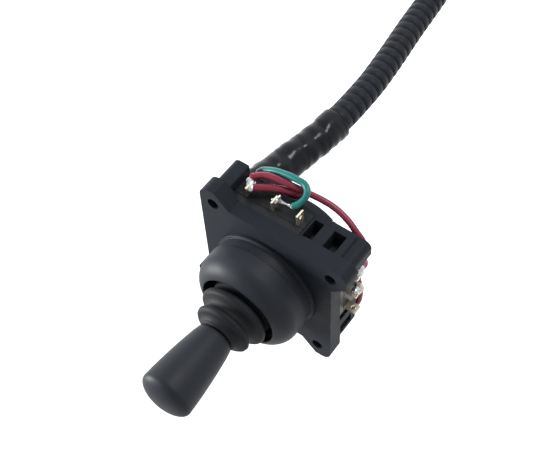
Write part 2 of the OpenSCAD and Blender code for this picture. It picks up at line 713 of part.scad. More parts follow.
module connector_lock() color("#2e3033")
    translate(plug_top + [-lock_w / 2, plug_h / 2, -plug_l + 3]) {
        cube([lock_w, lock_t, lock_l]);
        translate([0, 0, lock_l - lock_pad]) cube([lock_w, 2 * lock_t, lock_pad]);
    }

housing();
rear_plate();
rear_screws();
bezel();
boot();
boot_clamp_ring();
gimbal_ring();
ring_pins();
hub_pin();
lever_hub();
lever_shaft();
actuator();
shaft_clip();
return_spring();
knob();
knob_insert();
switch_case(0);  // switch_case_1
switch_case(1);  // switch_case_2
switch_case(2);  // switch_case_3
switch_case(3);  // switch_case_4
switch_plunger(0);  // switch_plunger_1
switch_plunger(1);  // switch_plunger_2
switch_plunger(2);  // switch_plunger_3
switch_plunger(3);  // switch_plunger_4
switch_terminals(0);  // switch_terminals_1
switch_terminals(1);  // switch_terminals_2
switch_terminals(2);  // switch_terminals_3
switch_terminals(3);  // switch_terminals_4
solder(0);  // solder_1
solder(1);  // solder_2
solder(2);  // solder_3
solder(3);  // solder_4
red_feed_wire();
red_link_wire_12();
red_link_wire_23();
red_link_wire_34();
green_wire();
white_wire();
blue_wire();
yellow_wire();
harness_tape();
conduit();
conduit_coil();
coil_tie();
conduit_tail();
connector();
connector_lock();
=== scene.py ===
"""Industrial microswitch joystick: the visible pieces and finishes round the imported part."""

import logging
import math
from dataclasses import dataclass
from enum import Enum
from typing import ClassVar

import bmesh
import bpy
from mathutils import Matrix, Vector, noise


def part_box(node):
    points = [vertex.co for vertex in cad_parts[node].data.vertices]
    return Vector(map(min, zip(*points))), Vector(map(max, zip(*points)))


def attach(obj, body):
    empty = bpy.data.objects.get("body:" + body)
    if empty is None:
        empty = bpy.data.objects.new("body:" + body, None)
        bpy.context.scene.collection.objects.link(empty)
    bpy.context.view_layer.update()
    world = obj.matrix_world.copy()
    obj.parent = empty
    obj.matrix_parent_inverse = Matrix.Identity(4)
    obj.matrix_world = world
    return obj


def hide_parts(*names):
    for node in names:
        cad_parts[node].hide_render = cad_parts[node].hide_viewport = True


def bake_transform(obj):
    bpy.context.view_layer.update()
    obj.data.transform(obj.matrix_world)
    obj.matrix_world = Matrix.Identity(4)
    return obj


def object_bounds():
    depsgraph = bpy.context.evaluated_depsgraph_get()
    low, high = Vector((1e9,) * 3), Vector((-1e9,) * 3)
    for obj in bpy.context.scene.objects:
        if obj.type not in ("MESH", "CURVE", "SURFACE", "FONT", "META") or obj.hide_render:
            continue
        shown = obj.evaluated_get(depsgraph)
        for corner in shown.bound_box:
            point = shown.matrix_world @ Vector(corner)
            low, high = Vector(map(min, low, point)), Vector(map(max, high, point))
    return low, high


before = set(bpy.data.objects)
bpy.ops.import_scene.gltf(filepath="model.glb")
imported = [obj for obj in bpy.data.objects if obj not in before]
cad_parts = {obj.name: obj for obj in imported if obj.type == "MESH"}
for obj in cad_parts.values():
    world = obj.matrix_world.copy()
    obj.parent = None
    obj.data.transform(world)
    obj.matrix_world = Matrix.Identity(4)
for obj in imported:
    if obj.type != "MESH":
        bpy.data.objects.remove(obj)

LOG = logging.getLogger("joystick")
CAD_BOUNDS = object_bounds()
Point = tuple[float, float, float]

MM = 0.001
WELD_MM = 0.002  # CAD corners closer than this are one corner
FLAT_DEG = 0.05  # faces that meet at less than this are one flat
SHARP_DEG = 32  # edges sharper than this are rounded
SPLINE_STEPS = 24  # fine steps between two points of a route


class Body(Enum):
    """The rigid bodies of the frame that pieces ride on."""

    HOUSING = "housing"
    GIMBAL = "gimbal"
    LEVER = "lever"


class Side(Enum):
    """The four switch positions, as quarter turns from +Y towards +X."""

    FRONT = 0
    RIGHT = 1
    BACK = 2
    LEFT = 3


# ---- shader nodes ----


def linear(hex_colour: str) -> tuple[float, float, float, float]:
    """Turns an sRGB colour to linear values.

    Args:
        hex_colour: The colour as six hex digits after a hash.

    Returns:
        Red, green, blue and an alpha of one.
    """
    parts = [int(hex_colour[i : i + 2], 16) / 255 for i in (1, 3, 5)]
    lin = [p / 12.92 if p <= 0.04045 else ((p + 0.055) / 1.055) ** 2.4 for p in parts]
    return (*lin, 1.0)


def add(tree: bpy.types.NodeTree, kind: str, inputs: dict, **settings) -> bpy.types.Node:
    """Adds a shader node with its settings and what its inputs are fed.

    Args:
        tree: The material's node tree.
        kind: The node's type name.
        inputs: Values or output sockets by input name or number.
        settings: Properties of the node itself.

    Returns:
        The new node.
    """
    node = tree.nodes.new(kind)
    for key, value in settings.items():
        setattr(node, key, value)
    for key, value in inputs.items():
        if isinstance(value, bpy.types.NodeSocket):
            tree.links.new(value, node.inputs[key])
        else:
            node.inputs[key].default_value = value
    return node


def emptied(owner: bpy.types.Material | bpy.types.World) -> bpy.types.NodeTree:
    """Gives a material or a world an empty node tree.

    Args:
        owner: The material or the world.

    Returns:
        Its tree.
    """
    owner.use_nodes = True
    owner.node_tree.nodes.clear()
    return owner.node_tree


def per_mm(size_mm: float) -> float:
    """Pattern scale, in cells per metre, of a pattern whose cells are size_mm across."""
    return 1 / (size_mm * MM)


class Shading:
    """A new material: a Principled shader fed from Object coordinates."""

    def __init__(self, name: str) -> None:
        """Makes the material.

        Args:
            name: The material's name.
        """
        self.material = bpy.data.materials.new(name)
        self.tree = emptied(self.material)
        self.shader = add(self.tree, "ShaderNodeBsdfPrincipled", {})
        add(self.tree, "ShaderNodeOutputMaterial", {"Surface": self.shader.outputs[0]})
        self.place = add(self.tree, "ShaderNodeTexCoord", {}).outputs["Object"]

    def cloud(self, size_mm: float, detail: float, roughness: float = 0.5,
              stretch: Point = (1.0, 1.0, 1.0)) -> bpy.types.NodeSocket:
        """Adds a noise pattern.

        Args:
            size_mm: Size of its cells.
            detail: How many finer layers lie over them.
            roughness: How strong the finer layers are.
            stretch: Scale of the pattern along X, Y and Z.

        Returns:
            The pattern's value.
        """
        place = self.place
        if stretch != (1.0, 1.0, 1.0):
            place = add(self.tree, "ShaderNodeMapping", {"Vector": place, "Scale": stretch}).outputs[0]
        pattern = add(self.tree, "ShaderNodeTexNoise", {
            "Vector": place, "Scale": per_mm(size_mm), "Detail": detail, "Roughness": roughness})
        return pattern.outputs["Fac"]

    def ranged(self, value: bpy.types.NodeSocket, low: float, high: float,
               to_low: float = 0.0, to_high: float = 1.0) -> bpy.types.NodeSocket:
        """Maps one range of a value to another.

        Args:
            value: The value.
            low: Where its range starts.
            high: Where its range ends.
            to_low: What the start becomes.
            to_high: What the end becomes.

        Returns:
            The mapped value.
        """
        return add(self.tree, "ShaderNodeMapRange", {
            "Value": value, "From Min": low, "From Max": high,
            "To Min": to_low, "To Max": to_high}).outputs[0]

    def feed(self, **inputs: float | bpy.types.NodeSocket) -> None:
        """Feeds the shader's inputs.

        Args:
            inputs: Values or sockets by input name, with _ for a space.
        """
        for name, value in inputs.items():
            socket = self.shader.inputs[name.replace("_", " ")]
            if isinstance(value, bpy.types.NodeSocket):
                self.tree.links.new(value, socket)
            else:
                socket.default_value = value

    def tones(self, mask: bpy.types.NodeSocket, colour: str, tone: str) -> None:
        """Colours the surface with two tones.

        Args:
            mask: Zero where it has the colour, one where it has the tone.
            colour: The main colour, in sRGB hex.
            tone: The second colour, in sRGB hex.
        """
        mix = add(self.tree, "ShaderNodeMix", {0: mask, 6: linear(colour), 7: linear(tone)},
                  data_type="RGBA")
        self.feed(Base_Color=mix.outputs[2])

    def relief(self, height: bpy.types.NodeSocket, strength: float, depth_mm: float) -> None:
        """Roughens the surface with fine bumps.

        Args:
            height: The pattern of the bumps.
            strength: How strongly they show.
            depth_mm: How deep they are.
        """
        bump = add(self.tree, "ShaderNodeBump", {
            "Height": height, "Strength": strength, "Distance": depth_mm * MM})
        self.feed(Normal=bump.outputs[0])


# ---- finishes ----


@dataclass(frozen=True)
class Finish:
    """A real material with its colour and the tone that it wears or clouds towards."""

    name: str
    colour: str
    tone: str

    def material(self) -> bpy.types.Material:
        """Builds the material, or gives the one that was built before."""
        found = bpy.data.materials.get(self.name)
        if found:
            return found
        shading = Shading(self.name)
        self.dress(shading)
        return shading.material

    def dress(self, shading: Shading) -> None:
        """Feeds the new material's shader.

        Args:
            shading: The new material.
        """
        raise NotImplementedError


@dataclass(frozen=True)
class MouldedPlastic(Finish):
    """An injection-moulded engineering plastic with the fine grain of a spark-eroded tool.

    The grain breaks up the highlight, and faint flow marks and rubbed places change the gloss.
    """

    roughness: float = 0.42
    grain_mm: float = 0.22
    grain_depth_mm: float = 0.012
    flow_mm: float = 9.0
    gloss: float = 0.2

    IOR: ClassVar[float] = 1.52
    SPECK_MM: ClassVar[float] = 0.7
    WEAR: ClassVar[float] = 0.35
    SATIN_DRIFT: ClassVar[float] = 0.07
    GRAIN_STRENGTH: ClassVar[float] = 0.6

    def dress(self, shading: Shading) -> None:
        """Shades the flow marks, the rubbed places and specks, and the grain.

        Args:
            shading: The new material.
        """
        flow = shading.cloud(self.flow_mm, detail=4.0)
        specks = shading.cloud(self.SPECK_MM, detail=6.0, roughness=0.7)
        grain = shading.cloud(self.grain_mm, detail=3.0)
        rubbed = shading.ranged(flow, 0.35, 0.7, to_high=self.WEAR)
        dust = shading.ranged(specks, 0.66, 0.78, to_high=self.WEAR)
        worn = add(shading.tree, "ShaderNodeMath", {0: rubbed, 1: dust},
                   operation="ADD", use_clamp=True)
        satin = shading.ranged(flow, 0.3, 0.7, self.roughness - self.SATIN_DRIFT,
                               self.roughness + self.SATIN_DRIFT)
        shading.tones(worn.outputs[0], self.colour, self.tone)
        shading.relief(grain, self.GRAIN_STRENGTH, self.grain_depth_mm)
        shading.feed(Roughness=satin, IOR=self.IOR, Specular_IOR_Level=self.gloss)


@dataclass(frozen=True)
class Rubber(Finish):
    """Moulded EPDM rubber: matt, a little greyed where it flexes."""

    roughness: float = 0.62
    gloss: float = 0.2

    IOR: ClassVar[float] = 1.5
    HAZE_MM: ClassVar[float] = 3.0
    HAZE: ClassVar[float] = 0.6
    PORE_MM: ClassVar[float] = 0.18
    PORE_DEPTH_MM: ClassVar[float] = 0.01
    PORE_STRENGTH: ClassVar[float] = 0.5

    def dress(self, shading: Shading) -> None:
        """Shades the grey haze and the pores.

        Args:
            shading: The new material.
        """
        haze = shading.ranged(shading.cloud(self.HAZE_MM, detail=5.0), 0.45, 0.75, to_high=self.HAZE)
        pores = shading.cloud(self.PORE_MM, detail=2.0)
        shading.tones(haze, self.colour, self.tone)
        shading.relief(pores, self.PORE_STRENGTH, self.PORE_DEPTH_MM)
        shading.feed(Roughness=self.roughness, IOR=self.IOR, Specular_IOR_Level=self.gloss)


@dataclass(frozen=True)
class Metal(Finish):
    """A turned, drawn, stamped or tinned metal with fine marks of its making."""

    roughness: float
    mark_mm: float
    stretch: Point = (1.0, 1.0, 1.0)
    depth_mm: float = 0.006

    CLOUD_MM: ClassVar[float] = 2.2
    SMOOTHEST: ClassVar[float] = 0.05
    MARK_STRENGTH: ClassVar[float] = 0.5

    def dress(self, shading: Shading) -> None:
        """Shades the tool marks and the cloudy tarnish.

        Args:
            shading: The new material.
        """
        marks = shading.cloud(self.mark_mm, detail=4.0, stretch=self.stretch)
        tarnish = shading.ranged(shading.cloud(self.CLOUD_MM, detail=3.0), 0.35, 0.7)
        satin = shading.ranged(marks, 0.0, 1.0, max(self.roughness - 0.1, self.SMOOTHEST),
                               self.roughness + 0.12)
        shading.tones(tarnish, self.colour, self.tone)
        shading.relief(marks, self.MARK_STRENGTH, self.depth_mm)
        shading.feed(Roughness=satin, Metallic=1.0)


@dataclass(frozen=True)
class SoftVinyl(Finish):
    """Extruded or calendered PVC, on wires and tape: smooth, glossy, faintly uneven."""

    roughness: float
    ripple_mm: float = 1.4
    ripple_depth_mm: float = 0.03
    gloss: float = 0.3

    IOR: ClassVar[float] = 1.53
    CLOUD_MM: ClassVar[float] = 2.5
    RIPPLE_STRENGTH: ClassVar[float] = 0.6

    def dress(self, shading: Shading) -> None:
        """Shades the ripple and the uneven gloss.

        Args:
            shading: The new material.
        """
        ripple = shading.cloud(self.ripple_mm, detail=0.5)
        cloud = shading.cloud(self.CLOUD_MM, detail=4.0)
        satin = shading.ranged(cloud, 0.0, 1.0, self.roughness - 0.06, self.roughness + 0.08)
        shading.tones(cloud, self.colour, self.tone)
        shading.relief(ripple, self.RIPPLE_STRENGTH, self.ripple_depth_mm)
        shading.feed(Roughness=satin, IOR=self.IOR, Specular_IOR_Level=self.gloss)


# Glass-filled polyamide from a spark-eroded mould: satin black that catches light on its edges.
HOUSING_PLASTIC = MouldedPlastic("housing_glass_filled_nylon", "#24282f", "#2f343b",
                                 roughness=0.55, gloss=0.1)
# The bezel is the same polyamide from a smoother tool, so it is a touch glossier.
BEZEL_PLASTIC = MouldedPlastic("bezel_nylon", "#22262d", "#2d3239",
                               roughness=0.5, grain_mm=0.3, grain_depth_mm=0.008)
# Phenolic switch cases: dense, finely textured and nearly black.
SWITCH_PLASTIC = MouldedPlastic("switch_case_phenolic", "#1d1f22", "#2a2c2f", roughness=0.38,
                                grain_mm=0.18, grain_depth_mm=0.01, flow_mm=5.0)
# Plungers of the snap switches, moulded in red nylon.
PLUNGER_PLASTIC = MouldedPlastic("plunger_red_nylon", "#8a1f1f", "#9c3a34", roughness=0.4)
# The knob's thermoplastic has a soft leathery grain that a hand has polished.
KNOB_PLASTIC = MouldedPlastic("knob_thermoplastic", "#22262d", "#2e3238", roughness=0.5,
                              grain_mm=0.35, grain_depth_mm=0.02, flow_mm=7.0)
# White acetal of the actuator: waxy and smooth.
ACETAL = MouldedPlastic("actuator_acetal", "#e4e2da", "#d8d5cb",
                        roughness=0.34, grain_mm=0.4, grain_depth_mm=0.004)
# Polyamide conduit, blown into corrugations: matt in the grooves, satin on the crests.
CONDUIT_NYLON = MouldedPlastic("conduit_polyamide", "#1f2329", "#2a2f35", roughness=0.45,
                               grain_mm=0.5, grain_depth_mm=0.01, flow_mm=14.0, gloss=0.12)
# The connector's housing and lock: plain polyamide from a finely eroded mould.
CONNECTOR_NYLON = MouldedPlastic("connector_polyamide", "#1c1e20", "#2b2d30", roughness=0.4)
# The boot: compression-moulded EPDM, dull from the mould and dusty in its folds.
BOOT_RUBBER = Rubber("boot_epdm_rubber", "#16181c", "#212429")
# Turned free-cutting steel with a thin oil film.
TURNED_STEEL = Metal("turned_steel", "#9a9fa4", "#7f8489",
                     roughness=0.3, mark_mm=0.25, stretch=(0.2, 0.2, 3.0))
# Zinc-plated screw heads, bright with a faint milky cloud.
PLATED_STEEL = Metal("zinc_plated_steel", "#d3d6d9", "#b4b8bc", roughness=0.22, mark_mm=0.3)
# Cold-drawn spring wire, greyed a little when its stress was relieved in the oven.
SPRING_STEEL = Metal("drawn_spring_steel", "#8e949a", "#74797f", roughness=0.28, mark_mm=0.2)
# The knob's threaded insert, turned from brass bar.
INSERT_BRASS = Metal("turned_brass", "#b8924e", "#9c7a3e",
                     roughness=0.3, mark_mm=0.25, stretch=(0.2, 0.2, 3.0))
# Terminals stamped from brass, their thin tinning dulled brown by flux and age; the colour is darkened
# far beyond that as painted shade, for the shadow that the tab stems lie in.
TINNED_BRASS_PAINTED_SHADE = Metal("tinned_brass", "#2b2a22", "#1b1a14", roughness=0.6, mark_mm=0.3)
# Tin-lead solder: bright and lumpy where it froze.
SOLDER = Metal("tin_lead_solder", "#c9cbcd", "#999c9f", roughness=0.3, mark_mm=1.2, depth_mm=0.01)
# Hook-up wire with extruded PVC insulation, one colour for each circuit.
RED_VINYL = SoftVinyl("red_wire_vinyl", "#9b344b", "#8a2b41", roughness=0.32)
GREEN_VINYL = SoftVinyl("green_wire_vinyl", "#218b84", "#1c7b75", roughness=0.32)
WHITE_VINYL = SoftVinyl("white_wire_vinyl", "#d2cdbb", "#bfb9a4", roughness=0.34)
BLUE_VINYL = SoftVinyl("blue_wire_vinyl", "#2b4a86", "#243f73", roughness=0.34)
YELLOW_VINYL = SoftVinyl("yellow_wire_vinyl", "#c9a53a", "#b08f2e", roughness=0.34)
# Electrician's tape pulled tight: very glossy, with puckers that glint.
TAPE_VINYL = SoftVinyl("vinyl_tape", "#14181e", "#1c2127",
                       roughness=0.2, ripple_mm=2.3, ripple_depth_mm=0.12, gloss=0.12)


# ---- pieces ----


def new_object(name: str, mesh: bpy.types.Mesh) -> bpy.types.Object:
    """Puts a mesh in the scene as an object at the origin.

    Args:
        name: The piece's name.
        mesh: Its mesh, already in place.

    Returns:
        The new object.
    """
    obj = bpy.data.objects.new(name, mesh)
    bpy.context.scene.collection.objects.link(obj)
    return obj


def from_bmesh(name: str, bm: bmesh.types.BMesh, smooth: bool = True) -> bpy.types.Object:
    """Makes an object of a bmesh and frees it.

    Args:
        name: The piece's name.
        bm: The finished bmesh.
        smooth: Whether its faces are shaded smooth.

    Returns:
        The new object.
    """
    mesh = bpy.data.meshes.new(name)
    bm.to_mesh(mesh)
    bm.free()
    if smooth:
        mesh.shade_smooth()
    else:
        mesh.shade_flat()
    return new_object(name, mesh)


def from_node(node: str) -> bmesh.types.BMesh:
    """Copies a CAD node's mesh, with its doubled corners welded.

    Args:
        node: The CAD node.

    Returns:
        The copy.
    """
    bm = bmesh.new()
    bm.from_mesh(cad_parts[node].data)
    bmesh.ops.remove_doubles(bm, verts=bm.verts, dist=WELD_MM * MM)
    return bm


def bevelled(obj: bpy.types.Object, width_mm: float) -> None:
    """Rounds an object's sharp edges with a live modifier and keeps its flats evenly shaded.

    Args:
        obj: The piece.
        width_mm: Width of the rounding.
    """
    bevel = obj.modifiers.new("edge_radius", "BEVEL")
    bevel.width = width_mm * MM
    bevel.segments = 2
    bevel.profile = 0.5
    bevel.limit_method = "ANGLE"
    bevel.angle_limit = math.radians(SHARP_DEG)
    bevel.use_clamp_overlap = True
    bevel.harden_normals = True
    shading = obj.modifiers.new("flat_faces", "WEIGHTED_NORMAL")
    shading.keep_sharp = True


def finish_piece(obj: bpy.types.Object, finish: Finish) -> bpy.types.Object:
    """Gives a piece its one material and logs its finish's name.

    Args:
        obj: The piece.
        finish: Its finish.

    Returns:
        The same object.
    """
    obj.data.materials.clear()
    obj.data.materials.append(finish.material())
    LOG.info("%s: %s", obj.name, finish.name)
    return obj


def softened(node: str, edge_mm: float, finish: Finish) -> bpy.types.Object:
    """Copies a CAD node into a finished piece with small moulded or deburred edge radii.

    Args:
        node: The CAD node, which the piece replaces.
        edge_mm: Width of the edge radii.
        finish: The piece's finish.

    Returns:
        The new piece.
    """
    bm = from_node(node)
    bmesh.ops.dissolve_limit(bm, angle_limit=math.radians(FLAT_DEG), verts=bm.verts, edges=bm.edges)
    obj = from_bmesh(node + "_body", bm)
    bevelled(obj, edge_mm)
    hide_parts(node)
    return finish_piece(obj, finish)


def ride_all(pieces: list[bpy.types.Object], body: Body) -> None:
    """Makes pieces ride on a body.

    Args:
        pieces: The pieces.
        body: The body that carries them.
    """
    for piece in pieces:
        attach(piece, body.value)


# ---- lines and tubes ----


def millimetres(points: list[Point]) -> list[Vector]:
    """Turns points in millimetres to vectors in metres."""
    return [Vector(p) * MM for p in points]


def line_length(points: list[Vector]) -> float:
    """Length of a line of points, in metres."""
    return sum((b - a).length for a, b in zip(points, points[1:]))


def even_line(points: list[Vector], step: float) -> list[Vector]:
    """Walks along a fine line and gives points at even distances.

    Args:
        points: A line of close points.
        step: The distance wanted, which is fitted to the whole length.

    Returns:
        The evenly spaced points with both ends.
    """
    length = line_length(points)
    count = max(round(length / step), 1)
    step = length / count
    out, walked, target = [points[0].copy()], 0.0, step
    for a, b in zip(points, points[1:]):
        stretch = (b - a).length
        while walked + stretch >= target - 1e-12 and len(out) < count:
            out.append(a.lerp(b, (target - walked) / stretch))
            target += step
        walked += stretch
    out.append(points[-1].copy())
    return out


def smooth_line(points: list[Vector], step: float) -> list[Vector]:
    """Samples a Catmull-Rom line through points at even steps.

    Args:
        points: The route's points.
        step: The distance between samples.

    Returns:
        The samples, from the first point to the last.
    """
    ends = [2 * points[0] - points[1], *points, 2 * points[-1] - points[-2]]
    fine: list[Vector] = []
    for a, b, c, d in zip(ends, ends[1:], ends[2:], ends[3:]):
        for k in range(SPLINE_STEPS):
            t = k / SPLINE_STEPS
            fine.append(0.5 * (2 * b + (c - a) * t + (2 * a - 5 * b + 4 * c - d) * t * t
                               + (3 * b - a - 3 * c + d) * t * t * t))
    fine.append(points[-1].copy())
    return even_line(fine, step)


def new_curve(name: str, radius: float, sides: int) -> bpy.types.Curve:
    """Makes an empty curve that becomes a closed round tube.

    Args:
        name: The piece's name.
        radius: The tube's radius, in metres.
        sides: Faces round it.

    Returns:
        The curve.
    """
    curve = bpy.data.curves.new(name, "CURVE")
    curve.dimensions = "3D"
    curve.twist_mode = "MINIMUM"
    curve.bevel_depth = radius
    curve.bevel_resolution = max(sides // 4 - 1, 0)
    curve.use_fill_caps = True
    return curve


def meshed(name: str, curve: bpy.types.Curve) -> bpy.types.Object:
    """Turns a curve to a mesh object of the same shape.

    Args:
        name: The piece's name.
        curve: The curve, which is removed.

    Returns:
        The mesh object.
    """
    source = bpy.data.objects.new(name + "_line", curve)
    bpy.context.scene.collection.objects.link(source)
    bpy.context.view_layer.update()
    graph = bpy.context.evaluated_depsgraph_get()
    mesh = bpy.data.meshes.new_from_object(source.evaluated_get(graph))
    mesh.name = name
    bpy.data.objects.remove(source)
    bpy.data.curves.remove(curve)
    bm = bmesh.new()
    bm.from_mesh(mesh)
    bmesh.ops.remove_doubles(bm, verts=bm.verts, dist=WELD_MM / 2 * MM)
    bmesh.ops.recalc_face_normals(bm, faces=bm.faces)
    bm.to_mesh(mesh)
    bm.free()
    mesh.shade_smooth()
    return new_object(name, mesh)


def tube(name: str, points: list[Vector], radius: float, sides: int, steps: int) -> bpy.types.Object:
    """Makes a round tube along a smooth curve through points.

    Args:
        name: The piece's name.
        points: The route, in metres.
        radius: The tube's radius, in metres.
        sides: Faces round it.
        steps: Steps between two points.

    Returns:
        The tube as a mesh object.
    """
    curve = new_curve(name, radius, sides)
    curve.resolution_u = steps
    spline = curve.splines.new("BEZIER")
    spline.bezier_points.add(len(points) - 1)
    for knot, point in zip(spline.bezier_points, points):
        knot.co = point
        knot.handle_left_type = knot.handle_right_type = "AUTO"
    return meshed(name, curve)


def swelling_tube(name: str, points: list[Vector], radii: list[float], sides: int) -> bpy.types.Object:
    """Makes a tube of straight steps whose radius changes from point to point.

    Args:
        name: The piece's name.
        points: The route's close points, in metres.
        radii: The radius at each, in metres.
        sides: Faces round it.

    Returns:
        The tube as a mesh object.
    """
    widest = max(radii)
    curve = new_curve(name, widest, sides)
    spline = curve.splines.new("POLY")
    spline.points.add(len(points) - 1)
    for knot, point, radius in zip(spline.points, points, radii):
        knot.co = (*point, 1)
        knot.radius = radius / widest
    return meshed(name, curve)


def rod(bm: bmesh.types.BMesh, start: Vector, end: Vector, radius: float) -> None:
    """Adds a straight strand to a bmesh.

    Args:
        bm: The bmesh.
        start: One end, in metres.
        end: The other end, in metres.
        radius: Its radius, in metres.
    """
    axis = end - start
    turn = axis.to_track_quat("Z", "Y").to_matrix().to_4x4()
    bmesh.ops.create_cone(bm, cap_ends=True, segments=12, radius1=radius, radius2=radius,
                          depth=axis.length, matrix=Matrix.Translation((start + end) / 2) @ turn)


# ---- sub-assemblies ----


@dataclass
class SwitchFrame:
    """The moulded flange with its switch frame, the rear plate and its screws."""

    moulding_edge_mm: float = 0.18
    plate_edge_mm: float = 0.15
    screw_edge_mm: float = 0.08

    def build(self) -> list[bpy.types.Object]:
        """Builds the pieces and rides them on the housing."""
        made = [
            softened("housing", self.moulding_edge_mm, HOUSING_PLASTIC),
            softened("rear_plate", self.plate_edge_mm, HOUSING_PLASTIC),
            softened("rear_screws", self.screw_edge_mm, PLATED_STEEL),
        ]
        ride_all(made, Body.HOUSING)
        return made


@dataclass
class BezelAndBoot:
    """The domed bezel, the rubber boot over the lever, and its clamp ring."""

    bezel_edge_mm: float = 0.25
    ring_edge_mm: float = 0.1
    seam_mm: float = 14.3
    bend_start_mm: float = 8.5
    bend_end_mm: float = 14.1
    neck_start_mm: float = 14.5
    neck_mm: float = 16.6

    def build(self) -> list[bpy.types.Object]:
        """Builds the pieces, with the boot split where the two tilts meet."""
        bezel = softened("bezel", self.bezel_edge_mm, BEZEL_PLASTIC)
        ring = softened("boot_clamp_ring", self.ring_edge_mm, HOUSING_PLASTIC)
        ride_all([bezel, ring], Body.HOUSING)
        lower = self.half_boot("boot_lower", keep_below=True)
        upper = self.half_boot("boot_upper", keep_below=False)
        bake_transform(lower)
        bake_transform(upper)
        return [bezel, ring, lower, upper]

    def half_boot(self, name: str, keep_below: bool) -> bpy.types.Object:
        """Cuts one half from the boot.

        Args:
            name: The piece's name.
            keep_below: Whether the half under the seam is kept.

        Returns:
            The half, with its material.
        """
        bm = from_node("boot")
        bmesh.ops.bisect_plane(bm, geom=bm.verts[:] + bm.edges[:] + bm.faces[:],
                               plane_co=(0, 0, self.seam_mm * MM), plane_no=(0, 0, 1),
                               clear_outer=keep_below, clear_inner=not keep_below)
        obj = from_bmesh(name, bm)
        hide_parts("boot")
        return finish_piece(obj, BOOT_RUBBER)


@dataclass
class Gimbal:
    """The ring and its pins, which tilt about X."""

    edge_mm: float = 0.15

    def build(self) -> list[bpy.types.Object]:
        """Builds the pieces and rides them on the gimbal."""
        made = [softened(node, self.edge_mm, TURNED_STEEL)
                for node in ("gimbal_ring", "ring_pins", "hub_pin")]
        ride_all(made, Body.GIMBAL)
        return made


@dataclass
class Lever:
    """The lever with its hub, shaft, actuator, clip and knob."""

    edge_mm: float = 0.15
    knob_edge_mm: float = 0.3

    def build(self) -> list[bpy.types.Object]:
        """Builds the pieces and rides them on the lever."""
        made = [softened(node, self.edge_mm, TURNED_STEEL)
                for node in ("lever_hub", "lever_shaft", "shaft_clip")]
        made.append(softened("actuator", self.edge_mm, ACETAL))
        made.append(softened("knob_insert", self.edge_mm, INSERT_BRASS))
        made.append(softened("knob", self.knob_edge_mm, KNOB_PLASTIC))
        ride_all(made, Body.LEVER)
        return made


@dataclass
class ReturnSpring:
    """The cylindrical return spring under the actuator, in two pieces: its lowest half turn and the
    turns above.
    """

    wire_mm: float = 0.9
    wire_sides: int = 12
    outer_mm: float = 10.6
    turns: int = 4
    steps_per_turn: int = 24
    settled_halves: int = 5

    def wire(self, bottom: float, top: float) -> list[Vector]:
        """Middle line of the wound wire.

        Args:
            bottom: Height of its first point, in metres.
            top: Height of its last point, in metres.

        Returns:
            The line's points, in metres.
        """
        radius = (self.outer_mm - self.wire_mm) / 2 * MM
        count = self.turns * self.steps_per_turn
        points = []
        for k in range(count + 1):
            angle = 2 * math.pi * k / self.steps_per_turn
            points.append(Vector((radius * math.cos(angle), radius * math.sin(angle),
                                  bottom + (top - bottom) * k / count)))
        return points

    def build(self) -> list[bpy.types.Object]:
        """Winds the spring between the ends of its CAD solid, cut where the two tilts meet."""
        low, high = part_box("return_spring")
        thick = self.wire_mm / 2 * MM
        bottom, top = low[2] + thick, high[2] - thick
        points = self.wire(bottom, top)
        seam = self.steps_per_turn // 2
        foot = tube("return_spring_foot", points[: seam + 1], thick, self.wire_sides, 1)
        body = tube("return_spring_body", points[seam:], thick, self.wire_sides, 1)
        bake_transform(foot)
        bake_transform(body)
        for piece in (foot, body):
            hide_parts("return_spring")
            finish_piece(piece, SPRING_STEEL)
        return [foot, body]


